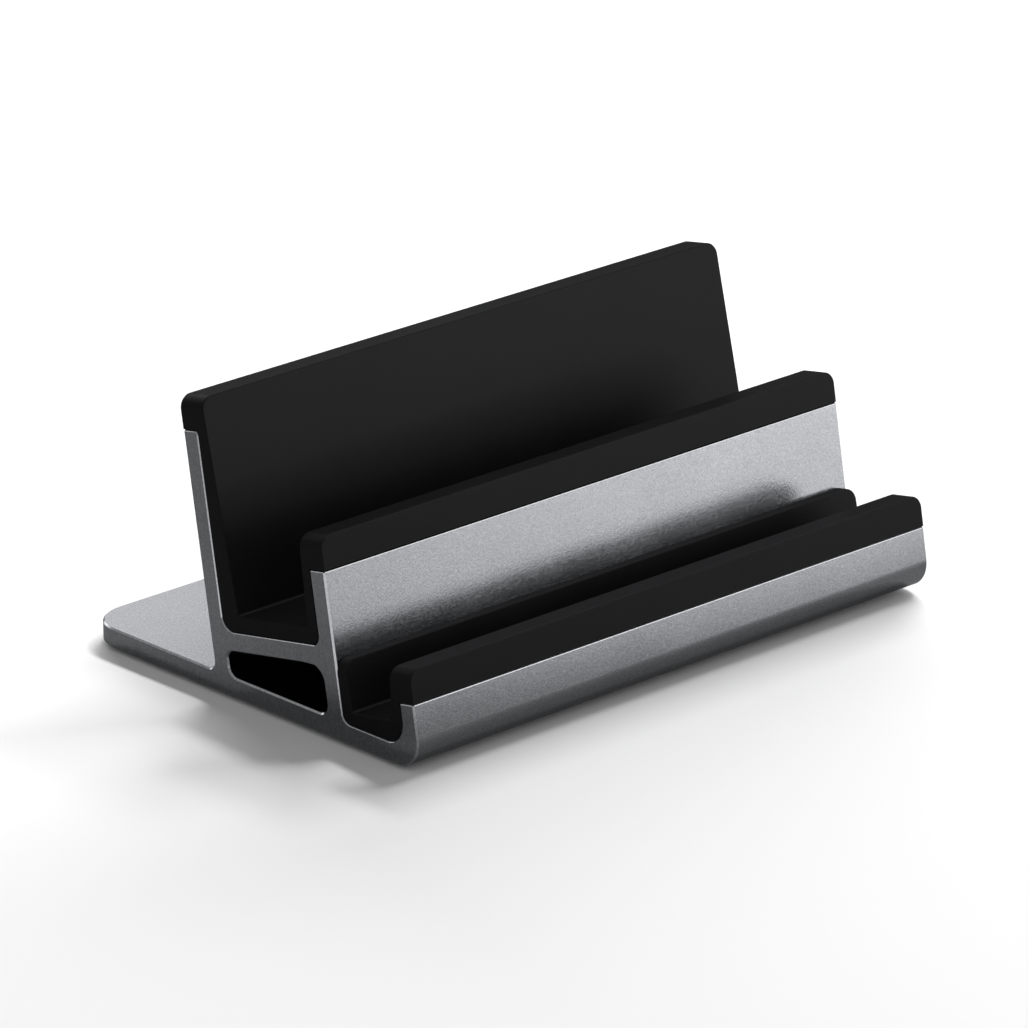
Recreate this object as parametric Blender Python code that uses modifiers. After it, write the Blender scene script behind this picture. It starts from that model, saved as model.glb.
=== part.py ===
"""Vertical stand with two slots, for a closed laptop and a tablet.

One aluminium extrusion makes the base, a low front lip, a middle wall and a tall back wall. A U-shaped
silicone liner is bonded into each slot and caps the walls on both sides of it. Two silicone foot strips
are taped into grooves under the base. Nothing moves.

Metres, +Z up. The origin is on the desk, under the middle of the footprint. X runs along the extrusion and
the lip is at the front (-Y). The section is drawn as points (y, z), y back from the base's front edge and z
up from its underside. The walls lean back by LEAN, and u and w measure across and up in their leaning frame.
"""

from math import ceil, copysign, cos, pi, radians, sin, tan

import bmesh
import bpy
from mathutils import Matrix, Vector

MM = 0.001

# Whole object
LENGTH = 146.0 * MM
DEPTH = 101.6 * MM
LEAN = radians(10.0)
FOOT_HEIGHT = 0.9 * MM  # the aluminium stands this far off the desk
FIT_GAP = 0.3 * MM  # between pieces that touch

# Aluminium section: thicknesses, clear widths between the walls, and heights up the walls
BASE_THICK = 4.4 * MM
WALL_THICK = 4.45 * MM
WEB_THICK = 4.35 * MM
LIP_THICK = 4.15 * MM
TABLET_GAP = 17.8 * MM
LAPTOP_GAP = 29.3 * MM
LIP_TOP = 14.2 * MM
WEB_TOP = 23.7 * MM
MIDDLE_TOP = 39.35 * MM
BACK_TOP = 65.4 * MM

# Aluminium radii
FRONT_RADIUS = 6.1 * MM  # lip to underside
BACK_TOP_RADIUS = 1.0 * MM  # the back wall's top corner, which its liner folds over
BACK_FOOT_RADIUS = 1.8 * MM
LAPTOP_SLOT_RADII = (2.1 * MM, 2.9 * MM)  # front and back corner of the slot's floor
TABLET_SLOT_RADII = (4.6 * MM, 2.2 * MM)
VOID_FRONT_RADII = (2.3 * MM, 3.6 * MM)  # bottom and top corner
VOID_BACK_RADII = (2.5 * MM, 1.5 * MM)
REAR_CORNER_RADIUS = 9.2 * MM  # the base's rear corners, seen from above
EDGE_CHAMFER = 0.35 * MM

# Silicone liners: the arms taper from foot to top
CAP_HEIGHT = 7.0 * MM  # from a wall's aluminium top to the top of its cap
CAP_CORNER_RADIUS = 2.9 * MM
LINER_EDGE_RADIUS = 0.4 * MM
LAPTOP_FLOOR = 27.05 * MM
LAPTOP_BACK_ARM = (5.15 * MM, 2.4 * MM)  # thickness at the foot and at the top
LAPTOP_MIDDLE_ARM = (2.95 * MM, 2.05 * MM)
TABLET_FLOOR = 10.35 * MM
TABLET_LIP_ARM = (2.85 * MM, 1.95 * MM)
TABLET_MIDDLE_ARM = (3.1 * MM, 2.55 * MM)
TABLET_MIDDLE_ARM_TOP = 21.15 * MM

# Adhesive tapes under the liners, in shallow pockets that stop short of the visible ends
TAPE_THICK = 0.2 * MM
TAPE_GAP = 0.25 * MM  # on both faces of every tape
TAPE_LENGTH = 130.0 * MM
TAPE_MARGIN = 1.0 * MM  # from a liner tape's edge to its pocket's edge
LAPTOP_FLOOR_TAPE_SPAN = (30.5 * MM, 49.5 * MM)  # u
LAPTOP_WALL_TAPE_SPAN = (31.0 * MM, 58.0 * MM)  # w
TABLET_TAPE_SPAN = (11.2 * MM, 18.2 * MM)  # y

# Foot strips, in grooves under the base
FOOT_LENGTH = 130.0 * MM
FOOT_WIDTH = 9.0 * MM
FOOT_END_RADIUS = 2.5 * MM
FOOT_GROOVE_DEPTH = 1.2 * MM
FOOT_EDGE_RADIUS = 0.3 * MM
FRONT_FOOT_Y = 14.5 * MM
REAR_FOOT_Y = DEPTH - 12.0 * MM

# Smoothness
ARC_STEP = radians(9.0)
PLAN_CORNER_STEPS = 12
CAP_CORNER_STEPS = 8
SHARP_ANGLE = radians(30.0)
CUT_CLEARANCE = 2.0 * MM  # a cutter stands this far outside the piece it cuts
WELD_DISTANCE = 1e-6
SAME_PLACE = 1e-5

# Walls' faces across the leaning frame, from the front
LIP_FRONT_U = FRONT_RADIUS * (cos(LEAN) - sin(LEAN) - 1.0)  # puts the front radius's foremost point at y = 0
LIP_BACK_U = LIP_FRONT_U + LIP_THICK
MIDDLE_FRONT_U = LIP_BACK_U + TABLET_GAP
MIDDLE_BACK_U = MIDDLE_FRONT_U + WALL_THICK
BACK_FRONT_U = MIDDLE_BACK_U + LAPTOP_GAP
BACK_REAR_U = BACK_FRONT_U + WALL_THICK
WEB_UNDERSIDE = WEB_TOP - WEB_THICK


def leaning(u, w):
    """The section point at u across and w up in the walls' leaning frame."""
    return Vector((u * cos(LEAN) + w * sin(LEAN), w * cos(LEAN) - u * sin(LEAN)))


def height_up_walls(y, z):
    """The w of a section point."""
    return y * sin(LEAN) + z * cos(LEAN)


def leaning_at(u, z):
    """The section point where the leaning plane u crosses height z."""
    return Vector(((u + z * sin(LEAN)) / cos(LEAN), z))


def rounded_corner(before, corner, after, radius):
    """The corner itself, or the points of an arc of this radius that touches both of its sides."""
    if radius == 0:
        return [corner]
    to_before = (before - corner).normalized()
    to_after = (after - corner).normalized()
    half_angle = to_before.angle(to_after) / 2
    centre = corner + (to_before + to_after).normalized() * radius / sin(half_angle)
    spoke = corner + to_before * radius / tan(half_angle) - centre
    left_turn = to_before.y * to_after.x - to_before.x * to_after.y
    turn = copysign(pi - 2 * half_angle, left_turn)
    steps = ceil(abs(turn) / ARC_STEP)
    return [centre + Matrix.Rotation(turn * step / steps, 2) @ spoke for step in range(steps + 1)]


def outline_of(corners):
    """The closed outline through (point, radius) corners."""
    points = []
    for i, (corner, radius) in enumerate(corners):
        before = corners[i - 1][0]
        after = corners[(i + 1) % len(corners)][0]
        points += rounded_corner(before, corner, after, radius)
    return points


def leaning_rectangle(u_low, w_low, u_high, w_high):
    corners = ((u_low, w_low), (u_high, w_low), (u_high, w_high), (u_low, w_high))
    return [leaning(u, w) for u, w in corners]


def rectangle(x_low, y_low, x_high, y_high, radius=0):
    corners = ((x_low, y_low), (x_high, y_low), (x_high, y_high), (x_low, y_high))
    return outline_of([(Vector(corner), radius) for corner in corners])


def new_collection(name):
    collection = bpy.data.collections.new(name)
    bpy.context.scene.collection.children.link(collection)
    return collection


def new_material(name, color, roughness, metallic=0.0):
    material = bpy.data.materials.new(name)
    material.use_nodes = True
    shader = material.node_tree.nodes["Principled BSDF"]
    shader.inputs["Base Color"].default_value = (*color, 1.0)
    shader.inputs["Roughness"].default_value = roughness
    shader.inputs["Metallic"].default_value = metallic
    return material


def tidy_mesh(mesh):
    """Joins an extrusion's loose caps to its sides and makes each flat face one polygon."""
    bm = bmesh.new()
    bm.from_mesh(mesh)
    bmesh.ops.remove_doubles(bm, verts=bm.verts, dist=WELD_DISTANCE)
    bmesh.ops.dissolve_limit(bm, angle_limit=radians(0.1), verts=bm.verts, edges=bm.edges)
    bmesh.ops.recalc_face_normals(bm, faces=bm.faces)
    bm.to_mesh(mesh)
    bm.free()


def extrusion(name, outlines, thickness, location, rotation=(0, 0, 0)):
    """A mesh object: the first outline, less the others as holes, with this thickness about its local Z = 0."""
    curve = bpy.data.curves.new(name, "CURVE")
    curve.dimensions = "2D"
    curve.fill_mode = "BOTH"
    curve.extrude = thickness / 2
    for outline in outlines:
        spline = curve.splines.new("POLY")
        spline.points.add(len(outline) - 1)
        for point, (across, up) in zip(spline.points, outline):
            point.co = (across, up, 0, 1)
        spline.use_cyclic_u = True
    drawn = bpy.data.objects.new(name, curve)
    drawn.location = location
    drawn.rotation_euler = rotation
    bpy.context.scene.collection.objects.link(drawn)
    graph = bpy.context.evaluated_depsgraph_get()
    mesh = bpy.data.meshes.new_from_object(drawn.evaluated_get(graph))
    placed = drawn.matrix_world.copy()
    bpy.data.objects.remove(drawn)
    bpy.data.curves.remove(curve)
    tidy_mesh(mesh)
    solid = bpy.data.objects.new(name, mesh)
    solid.matrix_world = placed
    return solid


def along_x(name, outlines, length):
    """An extrusion of section outlines, which run back and up, along the stand's X."""
    return extrusion(name, outlines, length, (0, -DEPTH / 2, FOOT_HEIGHT), (pi / 2, 0, pi / 2))


def plate(name, outline, bottom, top):
    """An extrusion of a plan outline, in x and y, between two heights above the desk."""
    return extrusion(name, [outline], top - bottom, (0, -DEPTH / 2, (bottom + top) / 2))


def same_place(first, second):
    return abs(first - second) < SAME_PLACE


def round_chosen_edges(solid, chosen, radius, steps):
    """Rounds the edges for which chosen(start, end) is true, in the object's own coordinates."""
    bm = bmesh.new()
    bm.from_mesh(solid.data)
    edges = [edge for edge in bm.edges if chosen(edge.verts[0].co, edge.verts[1].co)]
    bmesh.ops.bevel(
        bm, geom=edges, offset=radius, segments=steps, profile=0.5, affect="EDGES", clamp_overlap=False
    )
    bm.to_mesh(solid.data)
    bm.free()


def soften_edges(solid, width, segments):
    """Chamfers, or rounds, every sharp edge and shades the rest smooth."""
    bevel = solid.modifiers.new("edges", "BEVEL")
    bevel.width = width
    bevel.segments = segments
    bevel.limit_method = "ANGLE"
    bevel.angle_limit = SHARP_ANGLE
    bevel.use_clamp_overlap = False
    solid.data.shade_smooth()
    solid.data.set_sharp_from_angle(angle=SHARP_ANGLE)


def cut(solid, cutter, cutters):
    """Takes the cutter's shape out of the solid."""
    cutter.hide_render = True
    cutter.display_type = "WIRE"
    cutters.objects.link(cutter)
    boolean = solid.modifiers.new(cutter.name, "BOOLEAN")
    boolean.operation = "DIFFERENCE"
    boolean.solver = "EXACT"
    boolean.object = cutter


def add(solid, material, stand, parts):
    """Puts a finished piece in the stand."""
    solid.data.materials.append(material)
    solid.parent = stand
    parts.objects.link(solid)


def frame_outline():
    """The extrusion's outer outline, from the base's rear underside up and over the walls to the front."""
    return outline_of(
        [
            (Vector((DEPTH, 0)), 0),
            (Vector((DEPTH, BASE_THICK)), 0),
            (leaning_at(BACK_REAR_U, BASE_THICK), BACK_FOOT_RADIUS),
            (leaning(BACK_REAR_U, BACK_TOP), 0),
            (leaning(BACK_FRONT_U, BACK_TOP), BACK_TOP_RADIUS),
            (leaning(BACK_FRONT_U, WEB_TOP), LAPTOP_SLOT_RADII[1]),
            (leaning(MIDDLE_BACK_U, WEB_TOP), LAPTOP_SLOT_RADII[0]),
            (leaning(MIDDLE_BACK_U, MIDDLE_TOP), 0),
            (leaning(MIDDLE_FRONT_U, MIDDLE_TOP), 0),
            (leaning_at(MIDDLE_FRONT_U, BASE_THICK), TABLET_SLOT_RADII[1]),
            (leaning_at(LIP_BACK_U, BASE_THICK), TABLET_SLOT_RADII[0]),
            (leaning(LIP_BACK_U, LIP_TOP), 0),
            (leaning(LIP_FRONT_U, LIP_TOP), 0),
            (leaning_at(LIP_FRONT_U, 0), FRONT_RADIUS),
        ]
    )


def void_outline():
    """The hollow between the base, the web and the two walls."""
    return outline_of(
        [
            (leaning_at(MIDDLE_BACK_U, BASE_THICK), VOID_FRONT_RADII[0]),
            (leaning_at(BACK_FRONT_U, BASE_THICK), VOID_BACK_RADII[0]),
            (leaning(BACK_FRONT_U, WEB_UNDERSIDE), VOID_BACK_RADII[1]),
            (leaning(MIDDLE_BACK_U, WEB_UNDERSIDE), VOID_FRONT_RADII[1]),
        ]
    )


def make_frame(cutters):
    frame = along_x("frame", [frame_outline(), void_outline()], LENGTH)

    def is_rear_corner(start, end):
        return same_place(start.z, end.z) and same_place(start.x, DEPTH) and same_place(end.x, DEPTH)

    round_chosen_edges(frame, is_rear_corner, REAR_CORNER_RADIUS, PLAN_CORNER_STEPS)
    for name, centre_y in (("front_foot_groove", FRONT_FOOT_Y), ("rear_foot_groove", REAR_FOOT_Y)):
        groove = foot_plan(centre_y, FIT_GAP)
        cut(frame, plate(name, groove, -CUT_CLEARANCE, FOOT_HEIGHT + FOOT_GROOVE_DEPTH), cutters)
    soften_edges(frame, EDGE_CHAMFER, 1)
    return frame


def make_liner(name, corners, cap_tops):
    """A liner: its section along the whole stand, with its arms' top corners rounded at both ends."""
    liner = along_x(name, [outline_of(corners)], LENGTH)

    def is_cap_corner(start, end):
        at_one_end = same_place(start.z, end.z) and same_place(abs(start.z), LENGTH / 2)
        heights = [height_up_walls(point.x, point.y) for point in (start, end)]
        return at_one_end and any(all(same_place(height, top) for height in heights) for top in cap_tops)

    round_chosen_edges(liner, is_cap_corner, CAP_CORNER_RADIUS, CAP_CORNER_STEPS)
    return liner


def make_laptop_liner(cutters):
    """Lines the laptop slot and caps the back and middle walls."""
    underside = WEB_TOP + FIT_GAP
    front_face = MIDDLE_BACK_U + FIT_GAP
    back_face = BACK_FRONT_U - FIT_GAP
    back_cap = BACK_TOP + CAP_HEIGHT
    middle_cap = MIDDLE_TOP + CAP_HEIGHT
    corners = [
        (leaning(front_face, underside), LAPTOP_SLOT_RADII[0] - FIT_GAP),
        (leaning(back_face, underside), LAPTOP_SLOT_RADII[1] - FIT_GAP),
        (leaning(back_face, BACK_TOP + FIT_GAP), BACK_TOP_RADIUS + FIT_GAP),
        (leaning(BACK_REAR_U, BACK_TOP + FIT_GAP), 0),
        (leaning(BACK_REAR_U, back_cap), 0),
        (leaning(BACK_FRONT_U - LAPTOP_BACK_ARM[1], back_cap), 0),
        (leaning(BACK_FRONT_U - LAPTOP_BACK_ARM[0], LAPTOP_FLOOR), 0),
        (leaning(MIDDLE_BACK_U + LAPTOP_MIDDLE_ARM[0], LAPTOP_FLOOR), 0),
        (leaning(MIDDLE_BACK_U + LAPTOP_MIDDLE_ARM[1], middle_cap), 0),
        (leaning(MIDDLE_FRONT_U, middle_cap), 0),
        (leaning(MIDDLE_FRONT_U, MIDDLE_TOP + FIT_GAP), 0),
        (leaning(front_face, MIDDLE_TOP + FIT_GAP), 0),
    ]
    liner = make_liner("laptop_slot_liner", corners, (back_cap, middle_cap))
    pocket_depth = 2 * TAPE_GAP + TAPE_THICK
    pockets = {
        "laptop_floor_tape_pocket": leaning_rectangle(
            LAPTOP_FLOOR_TAPE_SPAN[0] - TAPE_MARGIN,
            WEB_TOP - CUT_CLEARANCE,
            LAPTOP_FLOOR_TAPE_SPAN[1] + TAPE_MARGIN,
            WEB_TOP + pocket_depth,
        ),
        "laptop_wall_tape_pocket": leaning_rectangle(
            BACK_FRONT_U - pocket_depth,
            LAPTOP_WALL_TAPE_SPAN[0] - TAPE_MARGIN,
            BACK_FRONT_U + CUT_CLEARANCE,
            LAPTOP_WALL_TAPE_SPAN[1] + TAPE_MARGIN,
        ),
    }
    for name, outline in pockets.items():
        cut(liner, along_x(name, [outline], TAPE_LENGTH + 2 * TAPE_MARGIN), cutters)
    soften_edges(liner, LINER_EDGE_RADIUS, 2)
    return liner


def make_tablet_liner(cutters):
    """Lines the tablet slot and caps the lip. Its floor is a wedge between the level base and the leaning slot."""
    underside = BASE_THICK + FIT_GAP
    front_face = LIP_BACK_U + FIT_GAP
    back_face = MIDDLE_FRONT_U - FIT_GAP
    lip_cap = LIP_TOP + CAP_HEIGHT
    corners = [
        (leaning_at(front_face, underside), TABLET_SLOT_RADII[0] - FIT_GAP),
        (leaning_at(back_face, underside), TABLET_SLOT_RADII[1] - FIT_GAP),
        (leaning(back_face, TABLET_MIDDLE_ARM_TOP), 0),
        (leaning(MIDDLE_FRONT_U - TABLET_MIDDLE_ARM[1], TABLET_MIDDLE_ARM_TOP), 0),
        (leaning(MIDDLE_FRONT_U - TABLET_MIDDLE_ARM[0], TABLET_FLOOR), 0),
        (leaning(LIP_BACK_U + TABLET_LIP_ARM[0], TABLET_FLOOR), 0),
        (leaning(LIP_BACK_U + TABLET_LIP_ARM[1], lip_cap), 0),
        (leaning(LIP_FRONT_U, lip_cap), 0),
        (leaning(LIP_FRONT_U, LIP_TOP + FIT_GAP), 0),
        (leaning(front_face, LIP_TOP + FIT_GAP), 0),
    ]
    liner = make_liner("tablet_slot_liner", corners, (TABLET_MIDDLE_ARM_TOP, lip_cap))
    pocket = rectangle(
        TABLET_TAPE_SPAN[0] - TAPE_MARGIN,
        BASE_THICK - CUT_CLEARANCE,
        TABLET_TAPE_SPAN[1] + TAPE_MARGIN,
        BASE_THICK + 2 * TAPE_GAP + TAPE_THICK,
    )
    cut(liner, along_x("tablet_tape_pocket", [pocket], TAPE_LENGTH + 2 * TAPE_MARGIN), cutters)
    soften_edges(liner, LINER_EDGE_RADIUS, 2)
    return liner


def make_liner_tapes():
    """The thin tapes that bond the liners to the web, the back wall and the base."""
    low, high = TAPE_GAP, TAPE_GAP + TAPE_THICK
    floor_span, wall_span, tablet_span = LAPTOP_FLOOR_TAPE_SPAN, LAPTOP_WALL_TAPE_SPAN, TABLET_TAPE_SPAN
    outlines = {
        "laptop_liner_floor_tape": leaning_rectangle(
            floor_span[0], WEB_TOP + low, floor_span[1], WEB_TOP + high
        ),
        "laptop_liner_wall_tape": leaning_rectangle(
            BACK_FRONT_U - high, wall_span[0], BACK_FRONT_U - low, wall_span[1]
        ),
        "tablet_liner_tape": rectangle(tablet_span[0], BASE_THICK + low, tablet_span[1], BASE_THICK + high),
    }
    return [along_x(name, [outline], TAPE_LENGTH) for name, outline in outlines.items()]


def foot_plan(centre_y, margin=0):
    """A foot strip's plan outline, or its groove's with a margin."""
    half_length = FOOT_LENGTH / 2 + margin
    half_width = FOOT_WIDTH / 2 + margin
    low_y, high_y = centre_y - half_width, centre_y + half_width
    return rectangle(-half_length, low_y, half_length, high_y, FOOT_END_RADIUS + margin)


def make_foot(name, centre_y):
    """A foot strip, from the desk up into its groove, and the tape between it and the groove's roof."""
    roof = FOOT_HEIGHT + FOOT_GROOVE_DEPTH
    tape_top = roof - TAPE_GAP
    tape_bottom = tape_top - TAPE_THICK
    outline = foot_plan(centre_y)
    strip = plate(name + "_strip", outline, 0, tape_bottom - TAPE_GAP)
    soften_edges(strip, FOOT_EDGE_RADIUS, 2)
    return strip, plate(name + "_tape", outline, tape_bottom, tape_top)


def main():
    for leftover in list(bpy.data.objects):
        bpy.data.objects.remove(leftover)
    parts = new_collection("dual_slot_laptop_stand")
    cutters = new_collection("cutters")
    cutters.hide_render = True

    stand = bpy.data.objects.new("stand", None)
    parts.objects.link(stand)

    aluminium = new_material("anodised_aluminium", (0.33, 0.34, 0.36), 0.38, metallic=1.0)
    add(make_frame(cutters), aluminium, stand, parts)
    for make_one in (make_laptop_liner, make_tablet_liner):
        liner = make_one(cutters)
        silicone = new_material(liner.name + "_silicone", (0.011, 0.011, 0.012), 0.55)
        add(liner, silicone, stand, parts)
    for name, centre_y in (("front_foot", FRONT_FOOT_Y), ("rear_foot", REAR_FOOT_Y)):
        strip, tape = make_foot(name, centre_y)
        add(strip, new_material(strip.name + "_silicone", (0.016, 0.016, 0.017), 0.65), stand, parts)
        add(tape, new_material(tape.name + "_adhesive", (0.6, 0.6, 0.58), 0.5), stand, parts)
    for tape in make_liner_tapes():
        add(tape, new_material(tape.name + "_adhesive", (0.6, 0.6, 0.58), 0.5), stand, parts)


main()
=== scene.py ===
"""Looks of the two-slot stand: bead-blasted aluminium, moulded silicone liners and feet, tapes, studio.

Metres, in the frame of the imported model: the desk is z = 0, X runs along the stand and the lip is at -Y.
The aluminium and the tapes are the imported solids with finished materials. The liners and the foot strips are
rebuilt here with closer fits, fillets and soft rims. The liners are drawn in section, in the walls' leaning
frame, with u across the walls from the front and w up them.
"""

from math import ceil, copysign, cos, pi, radians, sin, tan

import bmesh
import bpy
from mathutils import Matrix, Vector
from mathutils.bvhtree import BVHTree


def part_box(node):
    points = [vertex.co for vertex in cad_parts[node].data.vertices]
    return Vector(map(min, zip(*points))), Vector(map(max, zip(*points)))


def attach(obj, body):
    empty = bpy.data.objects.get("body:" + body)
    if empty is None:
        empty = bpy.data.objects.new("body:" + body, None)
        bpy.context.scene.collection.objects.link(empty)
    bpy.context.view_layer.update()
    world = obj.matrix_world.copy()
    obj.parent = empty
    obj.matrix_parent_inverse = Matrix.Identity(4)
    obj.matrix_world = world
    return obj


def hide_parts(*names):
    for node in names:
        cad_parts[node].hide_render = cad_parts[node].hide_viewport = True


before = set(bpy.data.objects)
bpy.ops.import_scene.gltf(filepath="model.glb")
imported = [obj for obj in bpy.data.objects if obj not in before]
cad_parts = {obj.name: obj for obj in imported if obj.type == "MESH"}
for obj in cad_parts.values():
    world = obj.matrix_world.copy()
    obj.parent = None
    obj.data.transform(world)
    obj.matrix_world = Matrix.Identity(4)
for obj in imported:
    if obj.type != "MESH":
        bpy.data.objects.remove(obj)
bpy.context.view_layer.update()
frame_low, frame_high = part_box("frame")

MM = 0.001
LENGTH = frame_high.x - frame_low.x
FRONT_Y = frame_low.y
UNDERSIDE_Z = frame_low.z

# The walls' faces across the leaning frame, and heights up the walls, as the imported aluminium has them
LEAN = radians(10.0)
BASE_THICK = 4.4 * MM
FRONT_RADIUS = 6.1 * MM
LIP_FRONT_U = FRONT_RADIUS * (cos(LEAN) - sin(LEAN) - 1.0)
LIP_BACK_U = LIP_FRONT_U + 4.15 * MM
MIDDLE_FRONT_U = LIP_BACK_U + 17.8 * MM
MIDDLE_BACK_U = MIDDLE_FRONT_U + 4.45 * MM
BACK_FRONT_U = MIDDLE_BACK_U + 29.3 * MM
BACK_REAR_U = BACK_FRONT_U + 4.45 * MM
LIP_TOP = 14.2 * MM
WEB_TOP = 23.7 * MM
MIDDLE_TOP = 39.35 * MM
BACK_TOP = 65.4 * MM
BACK_TOP_RADIUS = 1.0 * MM
LAPTOP_SLOT_RADII = (2.1 * MM, 2.9 * MM)
TABLET_SLOT_RADII = (4.6 * MM, 2.2 * MM)

# Silicone: arms are (thickness at the foot, thickness at the top)
SEAT_GAP = 0.06 * MM  # between a liner and the aluminium it sits on
CAP_HEIGHT = 7.0 * MM
CAP_CORNER_RADIUS = 2.9 * MM
LAPTOP_FLOOR = 27.05 * MM
LAPTOP_BACK_ARM = (5.15 * MM, 2.4 * MM)
LAPTOP_MIDDLE_ARM = (2.95 * MM, 2.05 * MM)
TABLET_FLOOR = 10.35 * MM
TABLET_LIP_ARM = (2.85 * MM, 1.95 * MM)
TABLET_MIDDLE_ARM = (3.1 * MM, 2.55 * MM)
TABLET_MIDDLE_ARM_TOP = 21.15 * MM
SLOT_FILLET = 0.7 * MM  # where a slot's floor meets its arms
RIM_RADIUS = 0.28 * MM  # on a liner's open edges
SEATED_SHARE = 0.25  # how much of that radius an edge against the aluminium has
SEATED_WITHIN = 0.4 * MM
FOOT_CORNER_RADIUS = 2.5 * MM
FOOT_RIM_RADIUS = 0.4 * MM

# Smoothness
ARC_STEP = radians(4.0)
CORNER_STEPS = 16
RIM_STEPS = 4
SHARP_ANGLE = radians(30.0)
WELD_DISTANCE = 1e-6
PACKED_WELD_DISTANCE = 5e-6
SAME_PLACE = 1e-5


# ---------------------------------------------------------------- shapes


def leaning(u, w):
    """The section point (y, z) at u across and w up in the walls' leaning frame."""
    return Vector((u * cos(LEAN) + w * sin(LEAN), w * cos(LEAN) - u * sin(LEAN)))


def leaning_at(u, z):
    """The section point where the leaning plane u crosses height z."""
    return Vector(((u + z * sin(LEAN)) / cos(LEAN), z))


def height_up_walls(y, z):
    """How far up the walls' leaning frame the section point is."""
    return y * sin(LEAN) + z * cos(LEAN)


def rounded_corner(before, corner, after, radius):
    """The corner itself, or the points of an arc of this radius that touches both of its sides."""
    if radius == 0:
        return [corner]
    to_before = (before - corner).normalized()
    to_after = (after - corner).normalized()
    half_angle = to_before.angle(to_after) / 2
    centre = corner + (to_before + to_after).normalized() * radius / sin(half_angle)
    spoke = corner + to_before * radius / tan(half_angle) - centre
    left_turn = to_before.y * to_after.x - to_before.x * to_after.y
    turn = copysign(pi - 2 * half_angle, left_turn)
    steps = ceil(abs(turn) / ARC_STEP)
    return [centre + Matrix.Rotation(turn * step / steps, 2) @ spoke for step in range(steps + 1)]


def outline_of(corners):
    """The closed outline through (point, radius) corners."""
    points = []
    for i, (corner, radius) in enumerate(corners):
        before = corners[i - 1][0]
        after = corners[(i + 1) % len(corners)][0]
        points += rounded_corner(before, corner, after, radius)
    return points


def prism(name, outline, thickness, matrix):
    """A closed mesh object: the outline, in local x and y, with this thickness about local z = 0."""
    bm = bmesh.new()
    bottom = [bm.verts.new((point.x, point.y, -thickness / 2)) for point in outline]
    face = bm.faces.new(bottom)
    raised = bmesh.ops.extrude_face_region(bm, geom=[face])["geom"]
    top = [item for item in raised if isinstance(item, bmesh.types.BMVert)]
    bmesh.ops.translate(bm, vec=(0, 0, thickness), verts=top)
    bmesh.ops.remove_doubles(bm, verts=bm.verts, dist=WELD_DISTANCE)
    bmesh.ops.recalc_face_normals(bm, faces=bm.faces)
    mesh = bpy.data.meshes.new(name)
    bm.to_mesh(mesh)
    bm.free()
    made = bpy.data.objects.new(name, mesh)
    bpy.context.scene.collection.objects.link(made)
    made.data.transform(matrix)
    return made


def same_place(first, second):
    return abs(first - second) < SAME_PLACE


def round_edges(piece, chosen, radius):
    """Rounds the edges for which chosen(start, end) is true."""
    bm = bmesh.new()
    bm.from_mesh(piece.data)
    edges = [edge for edge in bm.edges if chosen(edge.verts[0].co, edge.verts[1].co)]
    bmesh.ops.bevel(
        bm, geom=edges, offset=radius, segments=CORNER_STEPS, profile=0.5, affect="EDGES", clamp_overlap=False
    )
    bm.to_mesh(piece.data)
    bm.free()


def soften(piece, radius):
    """Rounds every sharp edge, those against the aluminium only slightly, and keeps the broad faces flat."""
    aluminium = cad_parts["frame"].data
    surface = BVHTree.FromPolygons(
        [vertex.co for vertex in aluminium.vertices], [face.vertices for face in aluminium.polygons]
    )
    bm = bmesh.new()
    bm.from_mesh(piece.data)
    weight = bm.edges.layers.float.new("bevel_weight_edge")
    for edge in bm.edges:
        if edge.calc_face_angle(0.0) > SHARP_ANGLE:
            middle = (edge.verts[0].co + edge.verts[1].co) / 2
            seated = surface.find_nearest(middle)[3] < SEATED_WITHIN
            edge[weight] = SEATED_SHARE if seated else 1.0
    bm.to_mesh(piece.data)
    bm.free()
    piece.data.shade_smooth()
    piece.data.set_sharp_from_angle(angle=SHARP_ANGLE)
    bevel = piece.modifiers.new("soft_rims", "BEVEL")
    bevel.width = radius
    bevel.segments = RIM_STEPS
    bevel.limit_method = "WEIGHT"
    bevel.use_clamp_overlap = False
    bevel.harden_normals = True


# The section's y and z, and its extrusion along x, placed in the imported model's frame
SECTION_TO_FRAME = Matrix.Translation((0, FRONT_Y, UNDERSIDE_Z)) @ Matrix(
    ((0, 0, 1, 0), (1, 0, 0, 0), (0, 1, 0, 0), (0, 0, 0, 1))
)


def liner(name, corners, cap_tops):
    """A silicone liner of this section, with its arms' top corners rounded at both ends."""
    piece = prism(name, outline_of(corners), LENGTH, SECTION_TO_FRAME)

    def is_cap_corner(start, end):
        at_one_end = same_place(start.x, end.x) and same_place(abs(start.x), LENGTH / 2)
        heights = [height_up_walls(point.y - FRONT_Y, point.z - UNDERSIDE_Z) for point in (start, end)]
        return at_one_end and any(all(same_place(height, top) for height in heights) for top in cap_tops)

    round_edges(piece, is_cap_corner, CAP_CORNER_RADIUS)
    soften(piece, RIM_RADIUS)
    return piece


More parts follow.
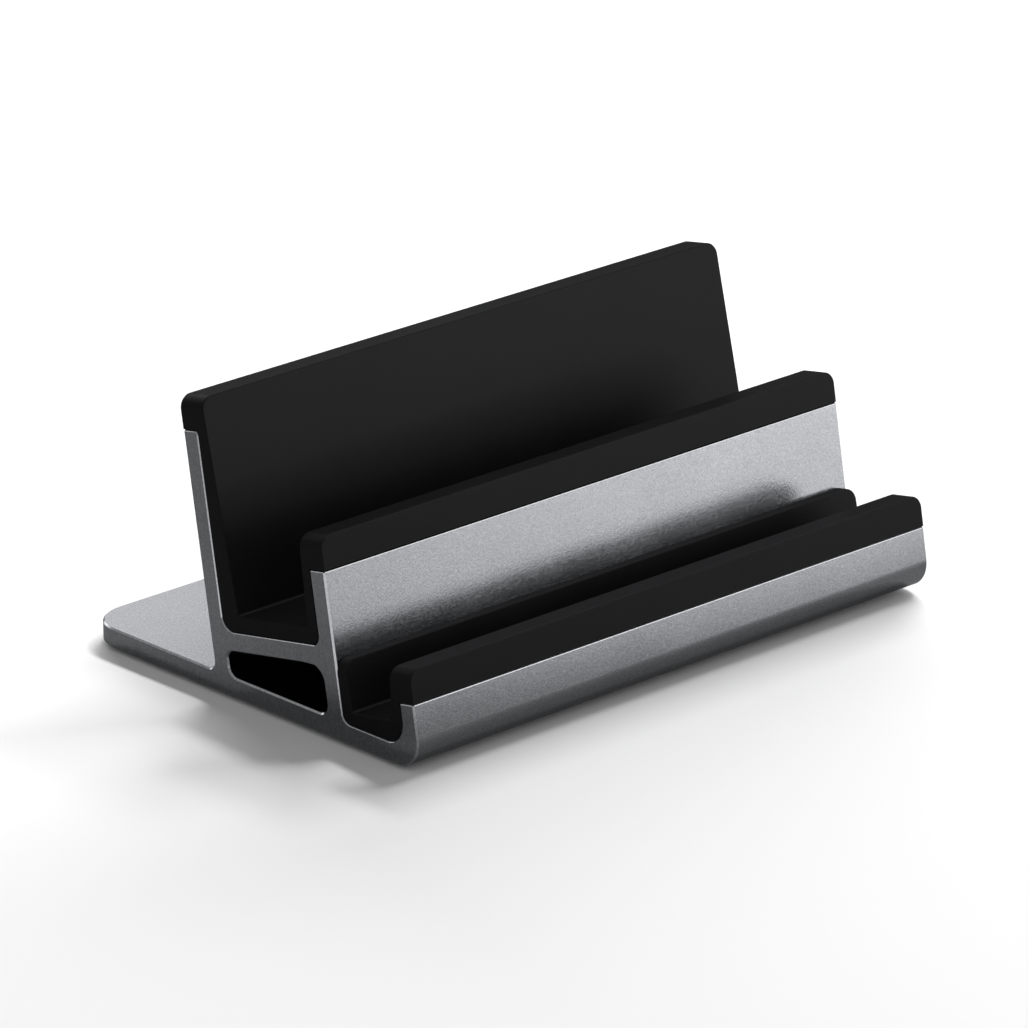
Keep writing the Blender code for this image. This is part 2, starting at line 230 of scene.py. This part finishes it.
def laptop_liner():
    underside = WEB_TOP + SEAT_GAP
    front_face = MIDDLE_BACK_U + SEAT_GAP
    back_face = BACK_FRONT_U - SEAT_GAP
    back_cap = BACK_TOP + CAP_HEIGHT
    middle_cap = MIDDLE_TOP + CAP_HEIGHT
    corners = [
        (leaning(front_face, underside), LAPTOP_SLOT_RADII[0] - SEAT_GAP),
        (leaning(back_face, underside), LAPTOP_SLOT_RADII[1] - SEAT_GAP),
        (leaning(back_face, BACK_TOP + SEAT_GAP), BACK_TOP_RADIUS + SEAT_GAP),
        (leaning(BACK_REAR_U, BACK_TOP + SEAT_GAP), 0),
        (leaning(BACK_REAR_U, back_cap), 0),
        (leaning(BACK_FRONT_U - LAPTOP_BACK_ARM[1], back_cap), 0),
        (leaning(BACK_FRONT_U - LAPTOP_BACK_ARM[0], LAPTOP_FLOOR), SLOT_FILLET),
        (leaning(MIDDLE_BACK_U + LAPTOP_MIDDLE_ARM[0], LAPTOP_FLOOR), SLOT_FILLET),
        (leaning(MIDDLE_BACK_U + LAPTOP_MIDDLE_ARM[1], middle_cap), 0),
        (leaning(MIDDLE_FRONT_U, middle_cap), 0),
        (leaning(MIDDLE_FRONT_U, MIDDLE_TOP + SEAT_GAP), 0),
        (leaning(front_face, MIDDLE_TOP + SEAT_GAP), 0),
    ]
    return liner("laptop_slot_silicone", corners, (back_cap, middle_cap))


def tablet_liner():
    underside = BASE_THICK + SEAT_GAP
    front_face = LIP_BACK_U + SEAT_GAP
    back_face = MIDDLE_FRONT_U - SEAT_GAP
    lip_cap = LIP_TOP + CAP_HEIGHT
    corners = [
        (leaning_at(front_face, underside), TABLET_SLOT_RADII[0] - SEAT_GAP),
        (leaning_at(back_face, underside), TABLET_SLOT_RADII[1] - SEAT_GAP),
        (leaning(back_face, TABLET_MIDDLE_ARM_TOP), 0),
        (leaning(MIDDLE_FRONT_U - TABLET_MIDDLE_ARM[1], TABLET_MIDDLE_ARM_TOP), 0),
        (leaning(MIDDLE_FRONT_U - TABLET_MIDDLE_ARM[0], TABLET_FLOOR), SLOT_FILLET),
        (leaning(LIP_BACK_U + TABLET_LIP_ARM[0], TABLET_FLOOR), SLOT_FILLET),
        (leaning(LIP_BACK_U + TABLET_LIP_ARM[1], lip_cap), 0),
        (leaning(LIP_FRONT_U, lip_cap), 0),
        (leaning(LIP_FRONT_U, LIP_TOP + SEAT_GAP), 0),
        (leaning(front_face, LIP_TOP + SEAT_GAP), 0),
    ]
    return liner("tablet_slot_silicone", corners, (TABLET_MIDDLE_ARM_TOP, lip_cap))


def foot_strip(packed, name):
    """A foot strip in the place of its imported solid, with soft rims."""
    low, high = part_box(packed)
    corners = ((low.x, low.y), (high.x, low.y), (high.x, high.y), (low.x, high.y))
    plan = outline_of([(Vector(corner), FOOT_CORNER_RADIUS) for corner in corners])
    piece = prism(name, plan, high.z - low.z, Matrix.Translation((0, 0, (low.z + high.z) / 2)))
    soften(piece, FOOT_RIM_RADIUS)
    return piece


# ---------------------------------------------------------------- materials


NOISE_SPAN = (0.3, 0.7)  # most of a noise's values lie in this
EDGE_COSINES = (0.80, 0.995)  # between a surface's normal and a rounded one: on an edge, and on a flat face
HALF_WAY = cos(pi / 4)  # how far a chamfer faces along the normal of either broad face beside it
HALF_WAY_WITHIN = 0.03
WALL_CHAMFERS_ABOVE = UNDERSIDE_Z + 2 * BASE_THICK
BASE_CHAMFERS_BEHIND = frame_high.y / 2

ALUMINIUM_COLOR = (0.50, 0.509, 0.532)
ALUMINIUM_ROUGHNESS = 0.18
CHAMFER_BRIGHTNESS = 1.75
CHAMFER_SHINE = 0.04  # how much less rough the chamfers are
GRAIN = 0.35 * MM
COARSE_GRAIN = 0.8 * MM
COARSE_GRAIN_SHARE = 0.6
GRAIN_DEPTH = 0.018 * MM
CHAMFER_GRAIN_DEPTH = 0.004 * MM
ALUMINIUM_CLOUD = 22.0 * MM
SAW_MARK_WIDTH = 0.3 * MM
SAW_MARK_SHORTENING = 0.05  # of heights, which makes the marks twenty times as long as they are wide
SAW_MARK_SWING = 0.07
END_FACING = 0.99  # an end face's normal goes at least this far along x

LINER_COLOR = (0.0065, 0.0065, 0.007)
LINER_ROUGHNESS = 0.38
FOOT_COLOR = (0.016, 0.016, 0.017)
FOOT_ROUGHNESS = 0.62
SKIN_GRAIN = 0.16 * MM
SKIN_DEPTH = 0.008 * MM
SILICONE_CLOUD = 16.0 * MM
RUBBED_REACH = 0.5 * MM
RUBBED_BRIGHTNESS = 1.25
SHEEN = (0.075, 0.008)  # face on, and at a grazing view
SHEEN_SLANTS = (0.4, 0.75)  # the slant of the view at which the sheen starts and ends its fall
LIP_SILICONE_BEFORE_Y = -36.0 * MM  # the lip's cap and arm are in front of this, in the tablet slot
LIP_MIRRORED_SHEEN = 0.9

TAPE_COLOR = (0.6, 0.6, 0.58)
TAPE_MOTTLE = 1.2 * MM
TAPE_FIBRES = 0.3 * MM
TAPE_DEPTH = 0.02 * MM


def node(tree, kind, inputs=None, **settings):
    """A new node with its settings made and its inputs linked or set."""
    made = tree.nodes.new(kind)
    for name, value in settings.items():
        setattr(made, name, value)
    for name, value in (inputs or {}).items():
        if isinstance(value, bpy.types.NodeSocket):
            tree.links.new(value, made.inputs[name])
        else:
            made.inputs[name].default_value = value
    return made


def combine(tree, operation, first, second=0.0):
    """One number worked out from two."""
    return node(tree, "ShaderNodeMath", {0: first, 1: second}, operation=operation).outputs[0]


def product(tree, first, *others):
    """All the numbers multiplied."""
    for other in others:
        first = combine(tree, "MULTIPLY", first, other)
    return first


def mix(tree, share, first, second):
    """The first number where the share is 0, and the second where it is 1."""
    return node(tree, "ShaderNodeMix", {"Factor": share, "A": first, "B": second}).outputs["Result"]


def spread(tree, value, low, high, from_low=0.0, from_high=1.0):
    """The value, moved from one range to another and held inside it."""
    inputs = {"Value": value, "From Min": from_low, "From Max": from_high, "To Min": low, "To Max": high}
    return node(tree, "ShaderNodeMapRange", inputs).outputs["Result"]


def vary(tree, source, middle, swing):
    """The noise, moved to swing this far to both sides of the middle."""
    return spread(tree, source, middle - swing, middle + swing, *NOISE_SPAN)


def noise(tree, place, size, detail=2.0, roughness=0.5):
    """Smooth noise about 0.5, whose features are about this many metres wide."""
    inputs = {"Vector": place, "Scale": 1.0 / size, "Detail": detail, "Roughness": roughness}
    return node(tree, "ShaderNodeTexNoise", inputs).outputs["Fac"]


def dot(tree, first, second):
    """How far the first direction goes along the second."""
    return node(tree, "ShaderNodeVectorMath", {0: first, 1: second}, operation="DOT_PRODUCT").outputs["Value"]


def parts_of(tree, vector):
    """The x, y and z of a vector."""
    return node(tree, "ShaderNodeSeparateXYZ", {0: vector}).outputs


def facing(tree):
    """The flat face's own normal, without smoothing or bumps."""
    return node(tree, "ShaderNodeNewGeometry").outputs["True Normal"]


def bumps(tree, height, depth, strength):
    """The normal over small bumps of this depth in metres."""
    inputs = {"Height": height, "Distance": depth, "Strength": strength}
    return node(tree, "ShaderNodeBump", inputs).outputs["Normal"]


def tinted(tree, color, factor):
    """The colour, with its brightness multiplied."""
    scaled = node(tree, "ShaderNodeVectorMath", {0: color, "Scale": factor}, operation="SCALE")
    return scaled.outputs["Vector"]


def new_material(name):
    """A new material: its tree, its Principled shader and the place on the object, in metres."""
    material = bpy.data.materials.new(name)
    material.use_nodes = True
    tree = material.node_tree
    place = node(tree, "ShaderNodeTexCoord").outputs["Object"]
    return material, tree, tree.nodes["Principled BSDF"], place


def set_inputs(tree, shader, **values):
    for name, value in values.items():
        socket = shader.inputs[name.replace("_", " ")]
        if isinstance(value, bpy.types.NodeSocket):
            tree.links.new(value, socket)
        else:
            socket.default_value = value


def worn_edges(tree, reach):
    """1 on edges and 0 on broad faces, fading within about this distance."""
    bent = node(tree, "ShaderNodeBevel", {"Radius": reach}, samples=6).outputs["Normal"]
    straight = node(tree, "ShaderNodeNewGeometry").outputs["Normal"]
    return spread(tree, dot(tree, bent, straight), 1.0, 0.0, *EDGE_COSINES)


def faces_half_way(tree, along_normal):
    """1 where a face turns half way from a broad face's normal, and 0 elsewhere."""
    size = combine(tree, "ABSOLUTE", along_normal)
    inputs = {0: size, 1: HALF_WAY, 2: HALF_WAY_WITHIN}
    return node(tree, "ShaderNodeMath", inputs, operation="COMPARE").outputs[0]


def chamfers(tree, place):
    """1 on the machined chamfers, which face half way between two broad faces, and 0 elsewhere."""
    along_x, _, along_z = parts_of(tree, facing(tree))
    up_walls = dot(tree, facing(tree), (0, sin(LEAN), cos(LEAN)))
    on_walls = combine(tree, "GREATER_THAN", parts_of(tree, place)["Z"], WALL_CHAMFERS_ABOVE)
    on_base = combine(tree, "GREATER_THAN", parts_of(tree, place)["Y"], BASE_CHAMFERS_BEHIND)
    round_ends = faces_half_way(tree, along_x)
    on_wall_tops = product(tree, faces_half_way(tree, up_walls), on_walls)
    round_base = product(tree, faces_half_way(tree, along_z), on_base)
    return combine(tree, "MAXIMUM", round_ends, combine(tree, "MAXIMUM", on_wall_tops, round_base))


def saw_marks(tree, place):
    """Fine streaks up the sawn end faces, about 1, and 1 on every other face."""
    drawn_out = node(
        tree, "ShaderNodeVectorMath", {0: place, 1: (1.0, 1.0, SAW_MARK_SHORTENING)}, operation="MULTIPLY"
    )
    streaks = noise(tree, drawn_out.outputs["Vector"], SAW_MARK_WIDTH, detail=3.0)
    along_x = combine(tree, "ABSOLUTE", parts_of(tree, facing(tree))["X"])
    on_ends = combine(tree, "GREATER_THAN", along_x, END_FACING)
    return combine(tree, "ADD", product(tree, vary(tree, streaks, 0.0, SAW_MARK_SWING), on_ends), 1.0)


def anodised_aluminium():
    """Bead-blasted, anodised grey, with its edges machined brighter and its ends sawn."""
    material, tree, shader, place = new_material("anodised_aluminium_finish")
    grain = noise(tree, place, GRAIN, detail=1.0)
    coarse = noise(tree, place, COARSE_GRAIN)
    cloud = noise(tree, place, ALUMINIUM_CLOUD, detail=3.0)
    chamfer = chamfers(tree, place)
    brightness = product(
        tree,
        vary(tree, grain, 1.0, swing=0.16),
        vary(tree, cloud, 1.0, swing=0.025),
        spread(tree, chamfer, 1.0, CHAMFER_BRIGHTNESS),
        saw_marks(tree, place),
    )
    roughness = vary(tree, coarse, ALUMINIUM_ROUGHNESS, swing=0.025)
    roughness = combine(tree, "ADD", roughness, vary(tree, cloud, 0.0, swing=0.015))
    roughness = combine(tree, "SUBTRACT", roughness, spread(tree, chamfer, 0.0, CHAMFER_SHINE))
    height = combine(tree, "ADD", grain, product(tree, coarse, COARSE_GRAIN_SHARE))
    depth = spread(tree, chamfer, GRAIN_DEPTH, CHAMFER_GRAIN_DEPTH)
    set_inputs(
        tree,
        shader,
        Base_Color=tinted(tree, ALUMINIUM_COLOR, brightness),
        Metallic=1.0,
        Roughness=roughness,
        Normal=bumps(tree, height, depth, strength=0.8),
    )
    return material


def silicone(name, color, roughness):
    """Moulded black silicone: a fine matte skin, faint clouding and paler, rubbed edges.

    Its sheen fades at a grazing view. Mirrored in the metal, only the lip's cap and arm have any.
    """
    material, tree, shader, place = new_material(name)
    skin = noise(tree, place, SKIN_GRAIN, detail=3.0, roughness=0.6)
    cloud = noise(tree, place, SILICONE_CLOUD, detail=3.0)
    brightness = product(
        tree,
        vary(tree, skin, 1.0, swing=0.15),
        vary(tree, cloud, 1.0, swing=0.07),
        spread(tree, worn_edges(tree, RUBBED_REACH), 1.0, RUBBED_BRIGHTNESS),
    )
    slant = node(tree, "ShaderNodeLayerWeight", {"Blend": 0.5}).outputs["Facing"]
    on_lip = combine(tree, "LESS_THAN", parts_of(tree, place)["Y"], LIP_SILICONE_BEFORE_Y)
    in_mirror = node(tree, "ShaderNodeLightPath").outputs["Is Glossy Ray"]
    direct_sheen = spread(tree, slant, *SHEEN, *SHEEN_SLANTS)
    mirrored_sheen = product(tree, on_lip, LIP_MIRRORED_SHEEN)
    set_inputs(
        tree,
        shader,
        Base_Color=tinted(tree, color, brightness),
        Roughness=vary(tree, cloud, roughness, swing=0.03),
        Specular_IOR_Level=mix(tree, in_mirror, direct_sheen, mirrored_sheen),
        Normal=bumps(tree, skin, SKIN_DEPTH, strength=0.35),
    )
    return material


def adhesive_tape():
    """Thin translucent white tape, mottled where the adhesive is thicker."""
    material, tree, shader, place = new_material("adhesive_tape_finish")
    mottle = noise(tree, place, TAPE_MOTTLE, detail=4.0)
    fibres = noise(tree, place, TAPE_FIBRES)
    brightness = product(tree, vary(tree, mottle, 0.98, swing=0.08), vary(tree, fibres, 1.0, swing=0.04))
    set_inputs(
        tree,
        shader,
        Base_Color=tinted(tree, TAPE_COLOR, brightness),
        Roughness=vary(tree, mottle, 0.475, swing=0.075),
        Normal=bumps(tree, mottle, TAPE_DEPTH, strength=0.4),
    )
    return material


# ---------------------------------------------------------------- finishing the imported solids


def smooth_by_angle():
    """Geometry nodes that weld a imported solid's triangles and smooth all but its sharp edges."""
    group = bpy.data.node_groups.new("weld_and_smooth", "GeometryNodeTree")
    group.interface.new_socket("Geometry", in_out="INPUT", socket_type="NodeSocketGeometry")
    group.interface.new_socket("Geometry", in_out="OUTPUT", socket_type="NodeSocketGeometry")
    start = node(group, "NodeGroupInput").outputs["Geometry"]
    welded = node(group, "GeometryNodeMergeByDistance", {"Geometry": start, "Distance": PACKED_WELD_DISTANCE})
    angle = node(group, "GeometryNodeInputMeshEdgeAngle").outputs["Unsigned Angle"]
    shallow = node(
        group,
        "FunctionNodeCompare",
        {"A": angle, "B": SHARP_ANGLE},
        data_type="FLOAT",
        operation="LESS_EQUAL",
    )
    edges = node(
        group,
        "GeometryNodeSetShadeSmooth",
        {"Geometry": welded.outputs["Geometry"], "Shade Smooth": shallow.outputs["Result"]},
        domain="EDGE",
    )
    faces = node(
        group, "GeometryNodeSetShadeSmooth", {"Geometry": edges.outputs["Geometry"], "Shade Smooth": True}
    )
    node(group, "NodeGroupOutput", {"Geometry": faces.outputs["Geometry"]})
    return group


def paint(piece, material):
    piece.data.materials.clear()
    piece.data.materials.append(material)


def finish_packed(name, material, smoothing):
    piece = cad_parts[name]
    paint(piece, material)
    modifier = piece.modifiers.new("weld_and_smooth", "NODES")
    modifier.node_group = smoothing


def place_soft(piece, replaced, material):
    """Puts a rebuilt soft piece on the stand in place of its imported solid."""
    paint(piece, material)
    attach(piece, "root")
    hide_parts(replaced)


# ---------------------------------------------------------------- studio


FRONT_LEFT = (-0.6, -0.8, 0.0)
FLOOR_HALF = 6.0
FLOOR_ALBEDO = 0.8

# The dome's light on the stand, weakest behind and strongest at the front left. The second pair is how far a
# direction goes along FRONT_LEFT.
DOME_LIGHT = (0.05, 0.79)
DOME_LIGHT_FROM = (-0.2, 0.7)

# What the metal mirrors, in place of a real studio's cards and dark drapes. Each brightness pair runs from
# the start to the end of the _X or _HEIGHT pair under it. The dome is dark at the horizon, and the dark
# reaches higher on the right. On the left all of it is dimmer.
MIRRORED_SKY = (0.05, 1.0)
MIRRORED_SKY_HEIGHT = (-0.05, 0.20)
MIRRORED_SKY_TILT = -0.35
MIRRORED_LEFT = (0.18, 1.0)
MIRRORED_LEFT_X = (-0.30, -0.05)

# The floor is even up to just in front of the lip. Beyond that it is bright on the right and at the far left.
MIRRORED_NEAR = 0.128
MIRRORED_FRONT_Y = (-0.068, -0.085)
MIRRORED_FRONT = (0.038, 0.61)
MIRRORED_FRONT_X = (-0.13, 0.31)
MIRRORED_FAR_LEFT = (0.0, 0.45)
MIRRORED_FAR_LEFT_X = (-0.09, -0.22)
MIRRORED_GLOW = 0.022  # keeps the floor's shadows from being mirrored black

ONE_MIRRORING = 1.5  # between the ray depths of a first and a second mirroring

CAMERA_AT = (-0.9791, -1.03525, 0.5569)
CAMERA_TOWARDS = (0.6439, 0.67995, -0.3508)
CAMERA_LENS = 256.37
CAMERA_SENSOR = 36.0


def floor_paint():
    """White, but darker and uneven where the metal mirrors it, with a faint glow that lights nothing else."""
    material = bpy.data.materials.new("floor_paint")
    material.use_nodes = True
    material.cycles.emission_sampling = "NONE"
    tree = material.node_tree
    tree.nodes.clear()
    x, y, _ = parts_of(tree, node(tree, "ShaderNodeTexCoord").outputs["Object"])
    in_front = spread(tree, y, 0.0, 1.0, *MIRRORED_FRONT_Y)
    right = spread(tree, x, *MIRRORED_FRONT, *MIRRORED_FRONT_X)
    far_left = spread(tree, x, *MIRRORED_FAR_LEFT, *MIRRORED_FAR_LEFT_X)
    mirrored = mix(tree, in_front, MIRRORED_NEAR, combine(tree, "ADD", right, far_left))
    in_mirror = node(tree, "ShaderNodeLightPath").outputs["Is Glossy Ray"]
    level = mix(tree, in_mirror, FLOOR_ALBEDO, mirrored)
    color = node(tree, "ShaderNodeCombineColor", {"Red": level, "Green": level, "Blue": level})
    lit = node(tree, "ShaderNodeBsdfDiffuse", {"Color": color.outputs["Color"]}).outputs["BSDF"]
    strength = product(tree, in_mirror, MIRRORED_GLOW)
    glow = node(tree, "ShaderNodeEmission", {"Strength": strength}).outputs["Emission"]
    both = node(tree, "ShaderNodeAddShader", {0: lit, 1: glow}).outputs["Shader"]
    node(tree, "ShaderNodeOutputMaterial", {"Surface": both})
    return material


def make_floor():
    bm = bmesh.new()
    bmesh.ops.create_grid(bm, x_segments=1, y_segments=1, size=FLOOR_HALF)
    mesh = bpy.data.meshes.new("floor")
    bm.to_mesh(mesh)
    bm.free()
    floor = bpy.data.objects.new("floor", mesh)
    bpy.context.scene.collection.objects.link(floor)
    paint(floor, floor_paint())


def make_world():
    """A dome: white to the camera, soft light from the front left, and uneven where the metal mirrors it."""
    world = bpy.data.worlds.new("studio")
    world.use_nodes = True
    bpy.context.scene.world = world
    tree = world.node_tree
    tree.nodes.clear()
    world.cycles.sampling_method = "NONE"
    direction = node(tree, "ShaderNodeTexCoord").outputs["Generated"]
    rays = node(tree, "ShaderNodeLightPath").outputs
    lighting = spread(tree, dot(tree, direction, FRONT_LEFT), *DOME_LIGHT, *DOME_LIGHT_FROM)
    x, _, z = parts_of(tree, direction)
    height = combine(tree, "ADD", z, product(tree, x, MIRRORED_SKY_TILT))
    sky = spread(tree, height, *MIRRORED_SKY, *MIRRORED_SKY_HEIGHT)
    mirrored = product(tree, sky, spread(tree, x, *MIRRORED_LEFT, *MIRRORED_LEFT_X))
    level = mix(tree, rays["Is Glossy Ray"], lighting, mirrored)
    level = mix(tree, rays["Is Camera Ray"], level, 1.0)
    dome = node(tree, "ShaderNodeBackground", {"Color": (1, 1, 1, 1), "Strength": level})
    node(tree, "ShaderNodeOutputWorld", {"Surface": dome.outputs["Background"]})


def softbox(name, at, size, power, towards=(0, 0, -1), mirror_card=False):
    """An area light that is never mirrored, or a card that is only seen mirrored once."""
    light = bpy.data.lights.new(name, "AREA")
    light.shape = "RECTANGLE"
    light.size, light.size_y = size
    light.energy = power
    lamp = bpy.data.objects.new(name, light)
    bpy.context.scene.collection.objects.link(lamp)
    lamp.location = at
    lamp.rotation_euler = Vector(towards).to_track_quat("-Z", "Y").to_euler()
    lamp.visible_camera = False
    lamp.visible_diffuse = not mirror_card
    lamp.visible_glossy = mirror_card
    if mirror_card:
        light.use_nodes = True
        tree = light.node_tree
        tree.nodes.clear()
        depth = node(tree, "ShaderNodeLightPath").outputs["Ray Depth"]
        once = combine(tree, "LESS_THAN", depth, ONE_MIRRORING)
        glow = node(tree, "ShaderNodeEmission", {"Strength": once})
        node(tree, "ShaderNodeOutputLight", {"Surface": glow.outputs["Emission"]})


def make_lights():
    """Two lamps behind on the right, which cast the shadows, and two cards for the metal to mirror."""
    softbox("key", at=(1.66, 0.60, 2.00), size=(0.5, 2.0), power=96.0)
    softbox("back_glow", at=(1.75, 1.75, 0.65), size=(2.6, 1.3), power=118.0, towards=(-1.0, -1.0, -0.2))
    softbox(
        "front_card",
        at=(0.38, -0.38, 0.11),
        size=(0.36, 0.22),
        power=1.05,
        towards=(-0.72, 0.68, -0.14),
        mirror_card=True,
    )
    softbox(
        "back_card",
        at=(0.11, 0.36, 0.09),
        size=(0.24, 0.06),
        power=0.36,
        towards=FRONT_LEFT,
        mirror_card=True,
    )


def make_camera():
    camera = bpy.data.objects.new("camera", bpy.data.cameras.new("camera"))
    bpy.context.scene.collection.objects.link(camera)
    camera.location = CAMERA_AT
    camera.rotation_euler = Vector(CAMERA_TOWARDS).to_track_quat("-Z", "Y").to_euler()
    camera.data.lens = CAMERA_LENS
    camera.data.sensor_width = CAMERA_SENSOR
    camera.data.clip_start, camera.data.clip_end = 0.05, 20.0
    bpy.context.scene.camera = camera


def main():
    smoothing = smooth_by_angle()
    finish_packed("frame", anodised_aluminium(), smoothing)
    tape = adhesive_tape()
    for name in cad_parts:
        if name.endswith("_tape"):
            finish_packed(name, tape, smoothing)

    lining = silicone("liner_silicone_finish", LINER_COLOR, LINER_ROUGHNESS)
    place_soft(laptop_liner(), "laptop_slot_liner", lining)
    place_soft(tablet_liner(), "tablet_slot_liner", lining)
    footing = silicone("foot_silicone_finish", FOOT_COLOR, FOOT_ROUGHNESS)
    for end in ("front", "rear"):
        strip = foot_strip(f"{end}_foot_strip", f"{end}_foot_silicone")
        place_soft(strip, f"{end}_foot_strip", footing)

    make_floor()
    make_world()
    make_lights()
    make_camera()
    bpy.context.scene.view_settings.view_transform = "Standard"


main()
